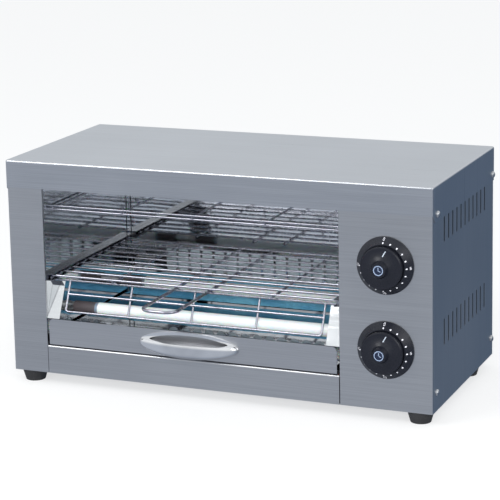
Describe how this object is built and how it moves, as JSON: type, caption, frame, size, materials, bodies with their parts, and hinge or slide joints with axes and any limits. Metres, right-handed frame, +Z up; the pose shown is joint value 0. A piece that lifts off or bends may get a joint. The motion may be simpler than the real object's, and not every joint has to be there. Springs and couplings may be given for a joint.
{
  "type": "countertop bar toaster",
  "caption": "Stainless steel countertop toaster with an open front, a sliding wire rack, quartz heating tubes above and below, dial timers and a crumb tray.",
  "frame": {"origin": "on the worktop, under the middle of the whole object's bounding box", "axes": "+X to the user's right, +Y from the open front to the back, +Z up"},
  "size_m": [0.4546, 0.2973, 0.232],
  "materials": {
    "sheet_steel": "brushed stainless steel sheet",
    "polished_liner": "mirror-bright stainless steel sheet",
    "filmed_reflector": "bright sheet under blue protective film",
    "chromed_wire": "chrome-plated wire",
    "milky_quartz": "milky quartz glass",
    "coil_wire": "coiled resistance wire",
    "ceramic_body": "unglazed steatite",
    "plain_steel": "zinc-plated steel",
    "polished_tray": "bright stainless steel sheet",
    "chromed_pull": "chrome plating",
    "timer_case": "moulded, matt",
    "black_dial": "fine matt black with pale print",
    "black_knob": "satin black moulding",
    "black_cap": "glossy black moulding",
    "black_rubber": "matt rubber",
    "screw_steel": "steel pan head",
    "gland_plastic": "black nylon",
    "white_plastic": "white nylon",
    "brass_clamp": "plain brass"
  },
  "bodies": {
    "casing": {"base_pan": "sheet_steel", "left_post": "sheet_steel", "control_panel": "sheet_steel", "top_cover": "sheet_steel", "left_side_panel": "sheet_steel", "right_side_panel": "sheet_steel", "back_panel": "sheet_steel", "inner_left_wall": "polished_liner", "inner_right_wall": "polished_liner", "inner_back_wall": "polished_liner", "ceiling_reflector": "polished_liner", "rear_reflector": "filmed_reflector", "rack_runner_left": "polished_liner", "rack_runner_right": "polished_liner", "tray_runner_left": "sheet_steel", "tray_runner_right": "sheet_steel", "guard_cheek_left": "polished_liner", "guard_cheek_right": "polished_liner", "lower_guard": "chromed_wire", "upper_guard": "chromed_wire", "quartz_tube_lower_front": "milky_quartz", "quartz_tube_lower_rear": "milky_quartz", "quartz_tube_upper_front": "milky_quartz", "quartz_tube_upper_rear": "milky_quartz", "heating_coils": "coil_wire", "ceramic_ends": "ceramic_body", "terminal_studs": "plain_steel", "timer_upper": "timer_case", "timer_lower": "timer_case", "dial_upper": "black_dial", "dial_lower": "black_dial", "timer_screws": "plain_steel", "foot_front_left": "black_rubber", "foot_front_right": "black_rubber", "foot_rear_left": "black_rubber", "foot_rear_right": "black_rubber", "foot_screws": "plain_steel", "side_screws": "screw_steel", "back_screws": "screw_steel", "cable_gland": "gland_plastic", "gland_nut": "gland_plastic", "terminal_block": "white_plastic", "terminal_clamps": "brass_clamp"},
    "rack": {"rack_grid": "chromed_wire", "rack_handle": "chromed_wire"},
    "tray": {"crumb_tray": "polished_tray", "tray_pull": "chromed_pull", "pull_screws": "plain_steel"},
    "knob_upper_turning": {"knob_upper": "black_knob", "knob_cap_upper": "black_cap", "timer_shaft_upper": "plain_steel"},
    "knob_lower_turning": {"knob_lower": "black_knob", "knob_cap_lower": "black_cap", "timer_shaft_lower": "plain_steel"}
  },
  "joints": [
    {"name": "rack_slide", "type": "slide", "parent": "casing", "child": "rack", "axis": [0, -1, 0], "range_m": [0, 0.11]},
    {"name": "tray_slide", "type": "slide", "parent": "casing", "child": "tray", "axis": [0, -1, 0], "range_m": [0, 0.14]},
    {"name": "knob_upper_turn", "type": "hinge", "parent": "casing", "child": "knob_upper_turning", "pos_m": [0.1778, -0.07475, 0.154], "axis": [0, 1, 0], "range_deg": [-16, 254]},
    {"name": "knob_lower_turn", "type": "hinge", "parent": "casing", "child": "knob_lower_turning", "pos_m": [0.1778, -0.07475, 0.0715], "axis": [0, 1, 0], "range_deg": [-16, 254]}
  ]
}
